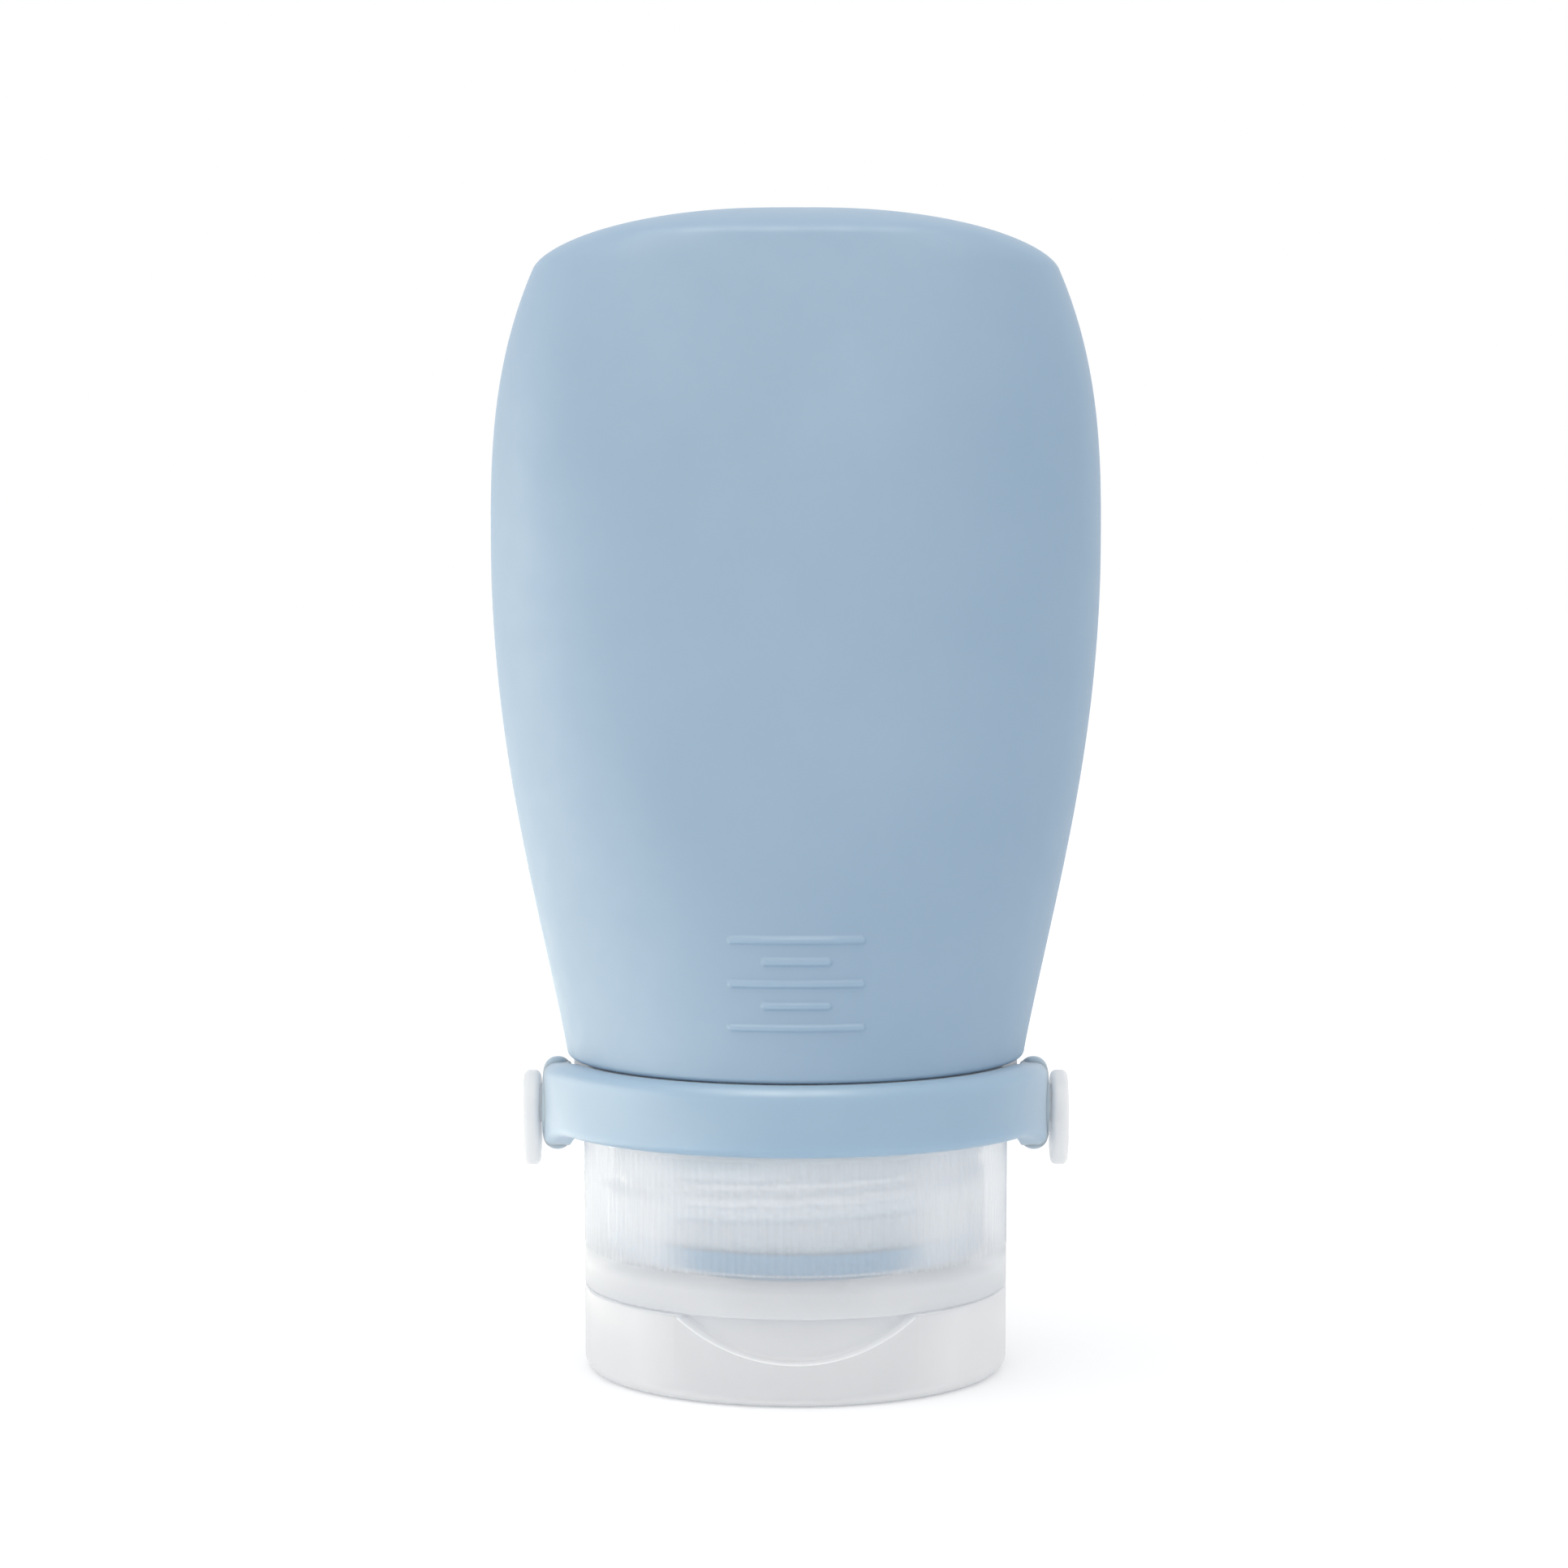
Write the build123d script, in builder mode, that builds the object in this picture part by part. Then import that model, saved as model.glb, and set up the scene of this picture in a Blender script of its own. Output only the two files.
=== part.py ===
from build123d import *
import os
from math import cos, pi, sin, sqrt

# A travel squeeze bottle with a flip-top screw cap, standing upside down on its lid.
# Millimetres, +Z up. The origin is the middle of the lid's outer face, the thumb recess
# faces -Y and the lid's hinge is at +Y.

# Lid
lid_radius = 17.4
lid_height = 6.93
lid_wall = 1.5
lid_floor = 1.5
lid_edge_round = 0.9
seam_gap = 0.14

# Thumb recess in the lid's front: a disc-shaped pocket that opens at the lid's rim
recess_width = 19.3
recess_height = 3.35
recess_depth = 1.2
recess_wall = 1.3

# Sealing spigot inside the lid
spigot_clearance = 0.35
spigot_wall = 0.9
spigot_engagement = 1.2

# Screw cap
cap_height = 12.85
cap_wall = 1.75
deck_thickness = 1.83
smooth_band_height = 3.2
rib_count = 168
rib_depth = 0.2
rib_top_margin = 0.45
nozzle_radius = 6.0
nozzle_length = 2.87
orifice_radius = 4.2
socket_wall = 0.9
socket_height = 3.6

# Valve and its retainer
valve_radius = 11.0
valve_height = 2.25
valve_rim_width = 2.8
valve_membrane = 0.85
valve_dome_radius = 5.4
valve_dome_rise = 2.1
slit_length = 4.6
slit_width = 0.12
valve_clearance = 0.15
retainer_height = 1.15
retainer_bore_radius = 6.6
retainer_clearance = 0.02

# Threads
thread_pitch = 3.2
thread_base_width = 1.7
thread_crest_width = 0.7
thread_depth = 1.0
thread_clearance = 0.4
neck_thread_turns = 1.75
cap_thread_turns = 1.45
thread_sink = 0.25
neck_thread_height = 0.95

# Neck insert
neck_bore_radius = 12.6
neck_wall = 1.6
flange_thickness = 1.2
flange_clearance = 0.02
skirt_radius = 14.95
skirt_length = 9.4
groove_depth = 0.65
groove_width = 1.6
groove_height = 3.1
gasket_seat_height = 1.15
gasket_thickness = 1.6
gasket_clearance = 0.25

# Collar with the strap's studs
cap_gap = 0.2
collar_height = 5.75
collar_radius = 18.25
collar_wall = 1.25
stud_radius = 1.6
stud_head_gap = 0.25
stud_head_thickness = 1.35
stud_head_length = 7.8
stud_head_width = 5.6
stud_head_drop = 1.2

# Strap
strap_clearance = 0.25
strap_front_thickness = 1.3
strap_eyelet_thickness = 2.3
strap_band_height = 5.62
strap_top_gap = 0.12
strap_flare_length = 9.0
eyelet_radius = 3.83
eyelet_clearance = 0.1
eyelet_top_gap = 0.3

# Silicone body
body_length = 69.05
body_width = 49.65
neck_end_radius = 18.75
body_wall = 1.7
lip_wall = 1.95
lip_clearance = 0.05
throat_height = 3.7
throat_length = 3.8
throat_step = 0.4
bead_clearance = 0.1
mouth_bevel = 0.6
crown_side_length = 5.1
crown_face_length = 2.8

# Shape of the silicone body: shares of its length, width and depth
widest_share = 0.6
width_power_share = 1.1
end_narrowing_share = 0.252
end_power_share = 2.8
depth_loss_share = 0.27
depth_power_share = 1.6
middle_share = 0.45
neck_exponent = 2.0
middle_exponent = 2.5
end_exponent = 3.4
section_height_shares = (
    0, 0.03, 0.1, 0.2, 0.32, 0.45, 0.59, 0.7, 0.79, 0.86, 0.905,
    0.935, 0.95, 0.96, 0.968, 0.976, 0.983, 0.989, 0.994, 0.998,
)
outline_points = 24

# Living hinge
hinge_width = 9.0
hinge_thickness = 0.4
hinge_reach = 1.6
hinge_groove = 0.22

# How far a cutting shape runs past what it cuts
overrun = 1.0

# Heights, worked out upwards from the surface the lid stands on
cap_bottom = lid_height + seam_gap
seam_height = lid_height + seam_gap / 2
deck_top = cap_bottom + deck_thickness
cap_top = cap_bottom + cap_height
ribs_bottom = cap_bottom + smooth_band_height
ribs_top = cap_top - rib_top_margin
valve_top = deck_top + valve_height
gasket_bottom = deck_top + gasket_seat_height
gasket_top = gasket_bottom + gasket_thickness
flange_bottom = cap_top + cap_gap
flange_top = flange_bottom + flange_thickness
collar_top = flange_bottom + collar_height
body_top = collar_top + body_length
widest_height = collar_top + widest_share * body_length
strap_top = collar_top - strap_top_gap
strap_bottom = strap_top - strap_band_height
stud_axis_height = collar_top - eyelet_top_gap - eyelet_radius

# Radii, worked out outwards from the neck's bore
spout_radius = neck_bore_radius + neck_wall
thread_crest_radius = spout_radius + thread_depth
cap_inner_radius = thread_crest_radius + thread_clearance
cap_radius = cap_inner_radius + cap_wall + rib_depth / 2
collar_bore_radius = collar_radius - collar_wall
lip_bore_radius = skirt_radius + lip_clearance
lip_radius = min(lip_bore_radius + lip_wall, collar_bore_radius - lip_clearance)
strap_inner_radius = collar_radius + strap_clearance
eyelet_outer_x = strap_inner_radius + strap_eyelet_thickness
stud_head_x = eyelet_outer_x + stud_head_gap
socket_radius = valve_radius + valve_clearance


def half_width(height, inset=0):
    """Half the body's width at a height, less an inset from its outer surface."""
    top = body_top - inset
    widest = body_width / 2
    if height <= widest_height:
        share = (height - collar_top) / (widest_height - collar_top)
        plain = neck_end_radius + (widest - neck_end_radius) * sin(pi / 2 * share) ** width_power_share
    else:
        share = (height - widest_height) / (body_top - widest_height)
        plain = widest * (1 - end_narrowing_share * share**end_power_share)
    return (plain - inset) * crown(height, top, crown_side_length)


def half_depth(height, inset=0):
    """Half the body's depth at a height, less an inset from its outer surface."""
    top = body_top - inset
    share = (height - collar_top) / body_length
    plain = neck_end_radius * (1 - depth_loss_share * share**depth_power_share)
    return (plain - inset) * crown(height, top, crown_face_length)


def crown(height, top, length):
    """How much of its plain size a section keeps where the body rounds over to its end."""
    share = max(0, (height - (top - length)) / length)
    return sqrt(1 - share**2)


def eased(share):
    """A share that leaves 0 and reaches 1 gently."""
    share = min(1, max(0, share))
    return share**2 * (3 - 2 * share)


def squareness(height):
    """Exponent of the section: 2 is an ellipse, more is squarer."""
    share = (height - collar_top) / body_length
    to_middle = (middle_exponent - neck_exponent) * eased(share / middle_share)
    to_end = (end_exponent - middle_exponent) * eased((share - middle_share) / (1 - middle_share))
    return neck_exponent + to_middle + to_end


def section_points(half_x, half_y, exponent):
    """Points round one closed section, an ellipse with squared-off corners."""
    points = []
    for index in range(outline_points):
        angle = 2 * pi * index / outline_points
        across = abs(cos(angle)) ** (2 / exponent)
        along = abs(sin(angle)) ** (2 / exponent)
        points.append((half_x * across * (1 if cos(angle) >= 0 else -1),
                       half_y * along * (1 if sin(angle) >= 0 else -1)))
    return points


def body_section(height, inset=0):
    """Points round the body at a height, less an inset from its outer surface."""
    return section_points(half_width(height, inset), half_depth(height, inset), squareness(height))


def helical_ridge(root_radius, start_height, turns, outward):
    """A right-handed thread ridge on a cylinder, pointing out (1) or in (-1)."""
    with BuildPart() as ridge:
        with BuildLine() as route:
            Helix(pitch=thread_pitch, height=turns * thread_pitch, radius=root_radius,
                  center=(0, 0, start_height))
        with BuildSketch(Plane(origin=route.line @ 0, x_dir=(1, 0, 0), z_dir=route.line % 0)):
            with BuildLine():
                Polyline(
                    (-outward * thread_sink, -thread_base_width / 2),
                    (0, -thread_base_width / 2),
                    (outward * thread_depth, -thread_crest_width / 2),
                    (outward * thread_depth, thread_crest_width / 2),
                    (0, thread_base_width / 2),
                    (-outward * thread_sink, thread_base_width / 2),
                    close=True,
                )
            make_face()
        sweep(path=route.line, is_frenet=True)
    return ridge.part


neck_thread_start = gasket_top + neck_thread_height
cap_thread_start = neck_thread_start + thread_pitch / 2
neck_thread = helical_ridge(spout_radius, neck_thread_start, neck_thread_turns, 1)
cap_thread = helical_ridge(cap_inner_radius, cap_thread_start, cap_thread_turns, -1)

# Flip lid: a shallow cup with a flat face to stand on
spigot_radius = orifice_radius - spigot_clearance
nozzle_tip = cap_bottom - nozzle_length
recess_radius = (recess_width**2 / 4 + recess_height**2) / (2 * recess_height)
recess_floor_radius = lid_radius - recess_depth
pad_inner_radius = recess_floor_radius - recess_wall
pad_width = recess_width + 2 * recess_wall

with BuildPart() as thumb_recess:
    with BuildSketch(Plane.XZ.offset(lid_radius / 2)):
        with Locations((0, lid_height - recess_height + recess_radius)):
            Circle(recess_radius)
    extrude(amount=lid_radius)
    with BuildSketch(Plane.XY):
        Circle(recess_floor_radius)
    extrude(amount=lid_height + 2 * recess_radius, mode=Mode.SUBTRACT)

with BuildPart() as flip_lid:
    with BuildSketch(Plane.XY):
        Circle(lid_radius)
    extrude(amount=lid_height)
    fillet(flip_lid.edges().group_by(Axis.Z)[0], radius=lid_edge_round)
    with BuildSketch(Plane.XY.offset(lid_floor)):
        Circle(lid_radius - lid_wall)
    extrude(amount=lid_height, mode=Mode.SUBTRACT)
    with BuildSketch(Plane.XY.offset(lid_floor)):
        Circle(lid_radius - lid_wall)
        Circle(pad_inner_radius, mode=Mode.SUBTRACT)
        with Locations((0, -lid_radius / 2)):
            Rectangle(pad_width, lid_radius, mode=Mode.INTERSECT)
    extrude(amount=lid_height - lid_floor)
    add(thumb_recess.part, mode=Mode.SUBTRACT)
    with BuildSketch(Plane.XY.offset(lid_floor)):
        Circle(spigot_radius)
        Circle(spigot_radius - spigot_wall, mode=Mode.SUBTRACT)
    extrude(amount=nozzle_tip + spigot_engagement - lid_floor)
flip_lid.part.label = "flip_lid"

# Screw cap: deck with nozzle and valve socket, threaded wall, fine grip ribs outside
rib_root_radius = cap_radius - rib_depth / 2
rib_crest_radius = cap_radius + rib_depth / 2
rib_outline = []
for index in range(rib_count):
    angle = 2 * pi * index / rib_count
    next_angle = angle + pi / rib_count
    rib_outline.append((rib_crest_radius * cos(angle), rib_crest_radius * sin(angle)))
    rib_outline.append((rib_root_radius * cos(next_angle), rib_root_radius * sin(next_angle)))

with BuildPart() as cap_base:
    with BuildSketch(Plane.XY.offset(cap_bottom)):
        Circle(lid_radius)
    extrude(amount=cap_height)
    with BuildSketch(Plane.XY.offset(nozzle_tip)):
        Circle(nozzle_radius)
    extrude(amount=nozzle_length)
    with BuildSketch(Plane.XY.offset(gasket_bottom)):
        Circle(cap_inner_radius)
        Circle(socket_radius + socket_wall, mode=Mode.SUBTRACT)
    extrude(amount=cap_height, mode=Mode.SUBTRACT)
    with BuildSketch(Plane.XY.offset(deck_top + socket_height)):
        Circle(socket_radius + socket_wall)
    extrude(amount=cap_height, mode=Mode.SUBTRACT)
    with BuildSketch(Plane.XY.offset(deck_top)):
        Circle(socket_radius)
    extrude(amount=cap_height, mode=Mode.SUBTRACT)
    with BuildSketch(Plane.XY.offset(nozzle_tip)):
        Circle(orifice_radius)
    extrude(amount=nozzle_length + deck_thickness + overrun, mode=Mode.SUBTRACT)
    add(cap_thread)
    with BuildSketch(Plane.XY.offset(ribs_bottom)):
        Polygon(*rib_outline, align=None)
        Circle(lid_radius - rib_depth, mode=Mode.SUBTRACT)
    extrude(amount=ribs_top - ribs_bottom)
cap_base.part.label = "cap_base"

# Living hinge: a thin web on the outside of the wall, thinnest along the seam
hinge_outer_radius = lid_radius + hinge_thickness
with BuildPart() as living_hinge:
    with BuildSketch(Plane.XY.offset(seam_height - hinge_reach)):
        Circle(hinge_outer_radius)
        Circle(lid_radius, mode=Mode.SUBTRACT)
        with Locations((0, hinge_outer_radius / 2)):
            Rectangle(hinge_width, hinge_outer_radius, mode=Mode.INTERSECT)
    extrude(amount=2 * hinge_reach)
    with BuildSketch(Plane.YZ.offset(-hinge_width)):
        with Locations((hinge_outer_radius, seam_height)):
            Circle(hinge_groove)
    extrude(amount=2 * hinge_width, mode=Mode.SUBTRACT)
living_hinge.part.label = "living_hinge"

# Slit valve: a thick rim round a domed membrane with crossed slits
dome_bottom = valve_top - valve_membrane
dome_curve_radius = (valve_dome_radius**2 + valve_dome_rise**2) / (2 * valve_dome_rise)
valve_rim_inner = valve_radius - valve_rim_width
with BuildPart() as dispensing_valve:
    with BuildSketch(Plane.XZ):
        with BuildLine():
            RadiusArc(
                (0, valve_top + valve_dome_rise),
                (valve_dome_radius, valve_top),
                dome_curve_radius,
            )
            Polyline(
                (valve_dome_radius, valve_top),
                (valve_radius, valve_top),
                (valve_radius, deck_top),
                (valve_rim_inner, deck_top),
                (valve_rim_inner, dome_bottom),
                (valve_dome_radius, dome_bottom),
            )
            RadiusArc(
                (valve_dome_radius, dome_bottom),
                (0, dome_bottom + valve_dome_rise),
                -dome_curve_radius,
            )
            Line((0, dome_bottom + valve_dome_rise), (0, valve_top + valve_dome_rise))
        make_face()
    revolve(axis=Axis.Z)
    with BuildSketch(Plane.XY.offset(deck_top)):
        Rectangle(slit_length, slit_width)
        Rectangle(slit_width, slit_length)
    extrude(amount=valve_height + valve_dome_rise + overrun, mode=Mode.SUBTRACT)
dispensing_valve.part.label = "dispensing_valve"

with BuildPart() as valve_retainer:
    with BuildSketch(Plane.XY.offset(valve_top)):
        Circle(socket_radius - retainer_clearance)
        Circle(retainer_bore_radius, mode=Mode.SUBTRACT)
    extrude(amount=retainer_height)
valve_retainer.part.label = "valve_retainer"

# Gasket between the raised seat round the deck and the rim of the neck
with BuildPart() as cap_gasket:
    with BuildSketch(Plane.XY.offset(gasket_bottom)):
        Circle(cap_inner_radius - gasket_clearance)
        Circle(socket_radius + socket_wall + gasket_clearance, mode=Mode.SUBTRACT)
    extrude(amount=gasket_thickness)
cap_gasket.part.label = "cap_gasket"

# Neck insert: threaded spout, flange and the grooved skirt that the silicone lip grips
flange_radius = collar_bore_radius - flange_clearance
groove_bottom = flange_top + groove_height
skirt_top = flange_top + skirt_length
with BuildPart() as neck_insert:
    with BuildSketch(Plane.XZ):
        with BuildLine():
            Polyline(
                (neck_bore_radius, gasket_top),
                (spout_radius, gasket_top),
                (spout_radius, flange_bottom),
                (flange_radius, flange_bottom),
                (flange_radius, flange_top),
                (skirt_radius, flange_top),
                (skirt_radius, groove_bottom),
                (skirt_radius - groove_depth, groove_bottom),
                (skirt_radius - groove_depth, groove_bottom + groove_width),
                (skirt_radius, groove_bottom + groove_width),
                (skirt_radius, skirt_top),
                (neck_bore_radius, skirt_top),
                close=True,
            )
        make_face()
    revolve(axis=Axis.Z)
    add(neck_thread)
neck_insert.part.label = "neck_insert"

# Collar round the silicone lip, with a stud and an oblong head at each side
stud_head_height = stud_axis_height - stud_head_drop
with BuildPart() as stud_collar:
    with BuildSketch(Plane.XY.offset(flange_bottom)):
        Circle(collar_radius)
    extrude(amount=collar_height)
    with BuildSketch(Plane.YZ.offset(-stud_head_x - stud_head_thickness / 2)):
        with Locations((0, stud_axis_height)):
            Circle(stud_radius)
    extrude(amount=2 * stud_head_x + stud_head_thickness)
    with BuildSketch(Plane.XY.offset(flange_bottom - overrun)):
        Circle(collar_bore_radius)
    extrude(amount=collar_height + 2 * overrun, mode=Mode.SUBTRACT)
    with BuildSketch(Plane.YZ.offset(stud_head_x)):
        with Locations((0, stud_head_height)):
            SlotOverall(stud_head_length, stud_head_width, rotation=90)
    extrude(amount=stud_head_thickness)
    with BuildSketch(Plane.YZ.offset(-stud_head_x)):
        with Locations((0, stud_head_height)):
            SlotOverall(stud_head_length, stud_head_width, rotation=90)
    extrude(amount=-stud_head_thickness)
stud_collar.part.label = "stud_collar"

# Strap: a band hugging the front of the collar, with an eyelet on each stud
reach = eyelet_outer_x + overrun
with BuildPart() as strap:
    with BuildSketch(Plane.XY.offset(stud_axis_height - 2 * eyelet_radius)):
        Ellipse(eyelet_outer_x, strap_inner_radius + strap_front_thickness)
        with Locations((0, -reach / 2)):
            Rectangle(2 * reach, reach, mode=Mode.INTERSECT)
        with Locations((0, eyelet_radius / 2)):
            Rectangle(2 * eyelet_outer_x, eyelet_radius)
        Circle(strap_inner_radius, mode=Mode.SUBTRACT)
        with Locations((0, reach / 2)):
            Rectangle(2 * strap_inner_radius, reach, mode=Mode.SUBTRACT)
    extrude(amount=4 * eyelet_radius)
    with BuildSketch(Plane.YZ.offset(-reach)):
        with BuildLine():
            Polyline(
                (0, stud_axis_height + eyelet_radius),
                (-eyelet_radius / 2, strap_top),
                (-reach, strap_top),
                (-reach, strap_bottom),
                (-strap_flare_length, strap_bottom),
                (0, stud_axis_height - eyelet_radius),
                close=True,
            )
        make_face()
        with Locations((0, stud_axis_height)):
            Circle(eyelet_radius)
    extrude(amount=2 * reach, mode=Mode.INTERSECT)
    with BuildSketch(Plane.YZ.offset(-reach)):
        with Locations((0, stud_axis_height)):
            Circle(stud_radius + eyelet_clearance)
    extrude(amount=2 * reach, mode=Mode.SUBTRACT)
strap.part.label = "strap"

# Silicone body: a hollow bulb, round at the neck, squarer and flatter towards its nearly flat end
throat_bottom = collar_top + throat_height
throat_top = throat_bottom + throat_length
throat_radius = min(half_width(throat_top, body_wall), half_depth(throat_top, body_wall)) - throat_step
cavity_top = body_top - body_wall
lip_bottom = flange_top

with BuildPart() as body_hollow:
    for height_share in section_height_shares:
        height = throat_top + height_share * (cavity_top - throat_top)
        with BuildSketch(Plane.XY.offset(height)):
            with BuildLine():
                Spline(*body_section(height, body_wall), periodic=True)
            make_face()
    loft()
    with BuildSketch(Plane.XY.offset(throat_bottom)):
        Circle(lip_bore_radius)
    with BuildSketch(Plane.XY.offset(throat_top)):
        Circle(throat_radius)
    loft()
    with BuildSketch(Plane.XY.offset(lip_bottom - overrun)):
        Circle(lip_bore_radius)
    extrude(amount=throat_bottom - lip_bottom + overrun)

with BuildPart() as mouth_corner:
    with BuildSketch(Plane.XZ):
        with BuildLine():
            Polyline(
                (neck_end_radius - mouth_bevel, collar_top),
                (neck_end_radius + mouth_bevel, collar_top + 2 * mouth_bevel),
                (neck_end_radius + mouth_bevel, collar_top - overrun),
                (neck_end_radius - mouth_bevel, collar_top - overrun),
                close=True,
            )
        make_face()
    revolve(axis=Axis.Z)

with BuildPart() as bottle_body:
    for height_share in section_height_shares:
        height = collar_top + height_share * body_length
        with BuildSketch(Plane.XY.offset(height)):
            with BuildLine():
                Spline(*body_section(height), periodic=True)
            make_face()
    loft()
    add(mouth_corner.part, mode=Mode.SUBTRACT)
    with BuildSketch(Plane.XY.offset(lip_bottom)):
        Circle(lip_radius)
    extrude(amount=collar_top - lip_bottom + mouth_bevel)
    add(body_hollow.part, mode=Mode.SUBTRACT)
    with BuildSketch(Plane.XY.offset(groove_bottom + bead_clearance)):
        Circle(lip_bore_radius + lip_clearance)
        Circle(skirt_radius - groove_depth + bead_clearance, mode=Mode.SUBTRACT)
    extrude(amount=groove_width - 2 * bead_clearance)
bottle_body.part.label = "bottle_body"

os.makedirs("parts", exist_ok=True)
export_step(bottle_body.part, "parts/bottle_body.step")
export_step(neck_insert.part, "parts/neck_insert.step")
export_step(stud_collar.part, "parts/stud_collar.step")
export_step(strap.part, "parts/strap.step")
export_step(cap_base.part, "parts/cap_base.step")
export_step(cap_gasket.part, "parts/cap_gasket.step")
export_step(dispensing_valve.part, "parts/dispensing_valve.step")
export_step(valve_retainer.part, "parts/valve_retainer.step")
export_step(flip_lid.part, "parts/flip_lid.step")
export_step(living_hinge.part, "parts/living_hinge.step")
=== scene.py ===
from math import acos, atan2, cos, pi, radians, sin, sqrt, tan

import bmesh
import bpy
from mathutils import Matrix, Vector


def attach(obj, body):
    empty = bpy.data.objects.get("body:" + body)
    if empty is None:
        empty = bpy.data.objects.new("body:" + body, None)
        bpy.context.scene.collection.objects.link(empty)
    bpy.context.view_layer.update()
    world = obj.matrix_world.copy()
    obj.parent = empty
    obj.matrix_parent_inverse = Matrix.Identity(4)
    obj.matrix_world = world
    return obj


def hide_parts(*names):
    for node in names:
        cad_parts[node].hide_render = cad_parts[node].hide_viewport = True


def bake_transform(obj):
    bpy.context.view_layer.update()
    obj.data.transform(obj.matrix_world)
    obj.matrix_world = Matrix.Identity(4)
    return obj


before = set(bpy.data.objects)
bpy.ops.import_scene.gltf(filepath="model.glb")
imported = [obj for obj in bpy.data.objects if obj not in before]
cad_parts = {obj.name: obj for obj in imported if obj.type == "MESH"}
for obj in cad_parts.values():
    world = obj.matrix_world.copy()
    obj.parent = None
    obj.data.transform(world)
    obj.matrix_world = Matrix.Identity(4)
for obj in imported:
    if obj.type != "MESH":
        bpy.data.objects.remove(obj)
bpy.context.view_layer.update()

# The looks of a travel squeeze bottle that stands upside down on its flip-top cap.
# Sizes are in millimetres until a mesh is made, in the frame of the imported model: +Z up,
# the thumb recess towards -Y, the lid's hinge at +Y. The marks in the materials, the floor,
# the lamps and the camera are in metres.
MM = 0.001
TINY = 1e-6
merge_distance = 1e-4

# Milky walls that light may pass one after the other, and its turns between pale surfaces
see_through_layers = 40
most_turns = 16

# Lid
lid_radius = 17.4
lid_height = 6.93
lid_wall = 1.5
lid_floor = 1.5
lid_edge_round = 1.1
lid_rim_round = 0.12
seam_gap = 0.14
recess_width = 19.3
recess_height = 3.35
recess_depth = 1.2
recess_edge_round = 0.2
recess_hollow_round = 0.35
recess_hollow_share = 0.6
recess_rim_share = 0.3
edge_slack = 0.02
pad_wall = 1.3
pad_half_angle = radians(44)
pad_step_angle = radians(2)
spigot_radius = 3.85
spigot_wall = 0.9
spigot_height = 5.4

# Screw cap
cap_height = 12.85
cap_inner_radius = 15.6
deck_thickness = 1.83
smooth_band_height = 3.2
rib_count = 168
rib_depth = 0.13
rib_top_margin = 0.45
rib_fade = 0.18
rib_fade_grid = 0.045
rib_softening = 0.25
cap_seam_round = 0.14
nozzle_radius = 6.0
nozzle_length = 2.87
orifice_radius = 4.2
socket_radius = 11.15
socket_wall = 0.9
socket_height = 3.6

# Valve, retainer and gasket
valve_radius = 11.0
valve_height = 2.25
valve_rim_width = 2.8
valve_membrane = 0.85
valve_dome_radius = 5.4
valve_dome_rise = 2.1
slit_length = 4.6
slit_width = 0.12
slit_cut_height = 9.0
retainer_height = 1.15
retainer_bore_radius = 6.6
gasket_seat_height = 1.15
gasket_thickness = 1.6
gasket_clearance = 0.25
seat_gap = 0.02

# Threads
thread_pitch = 3.2
thread_base_width = 1.7
thread_crest_width = 0.7
thread_depth = 1.0
neck_thread_turns = 1.75
cap_thread_turns = 1.45
neck_thread_height = 0.95
thread_end_angle = radians(12)
thread_grid = 0.17

# Neck insert
neck_bore_radius = 12.6
spout_radius = 14.2
flange_radius = 16.98
flange_thickness = 1.2
skirt_radius = 14.95
skirt_length = 9.4
groove_depth = 0.65
groove_width = 1.6
groove_height = 3.1

# Collar with studs
cap_gap = 0.2
collar_height = 5.75
collar_radius = 18.25
collar_bore_radius = 17.0
stud_radius = 1.6
stud_root_depth = 0.8
stud_tip_depth = 0.3
stud_head_x = 21.05
stud_head_thickness = 1.35
stud_head_length = 7.8
stud_head_width = 5.6
stud_head_round = 0.45
stud_head_drop = 1.2

# Strap
strap_inner_radius = 18.5
strap_front_thickness = 1.3
strap_eyelet_thickness = 2.3
strap_band_height = 5.71
strap_top_gap = 0.03
strap_flare_length = 9.0
strap_top_round = 1.1
strap_bottom_round = 0.8
eyelet_radius = 3.83
eyelet_hole_radius = 1.7
eyelet_top_gap = 0.3
eyelet_inset = 0.35
eyelet_edge_round = 1.1
eyelet_hole_round = 0.3

# Silicone body
body_length = 69.05
body_width = 49.65
neck_end_radius = 18.75
body_wall = 1.7
lip_radius = 16.95
lip_bore_radius = 15.0
throat_height = 3.7
throat_length = 3.8
throat_step = 0.4
mouth_edge_round = 0.42
crown_side_length = 5.1
crown_face_length = 2.8
widest_share = 0.6
width_power_share = 1.1
end_narrowing_share = 0.252
end_power_share = 2.8
depth_loss_share = 0.27
depth_power_share = 1.6
middle_share = 0.45
neck_exponent = 2.0
middle_exponent = 2.5
end_exponent = 3.4

# Raised fill scale on the body's front: a ladder of plain bars
mark_centre_height = 33.7
mark_long_bar = 10.6
mark_short_bar = 5.4
mark_bar_count = 5
mark_bar_pitch = 1.7
mark_bar_width = 0.5
mark_relief = 0.22
mark_slope = 0.22
mark_grid = 0.1
mark_margin = 0.8

# Living hinge
hinge_width = 9.0
hinge_thickness = 0.4
hinge_reach = 1.6
hinge_groove = 0.22
hinge_fade = 0.35
hinge_end_share = 0.3

# Roundings of small moulded edges, from crisp to soft
crisp_round = 0.1
fine_round = 0.15
small_round = 0.2
edge_round = 0.25
soft_round = 0.3
root_round = 0.4

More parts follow.
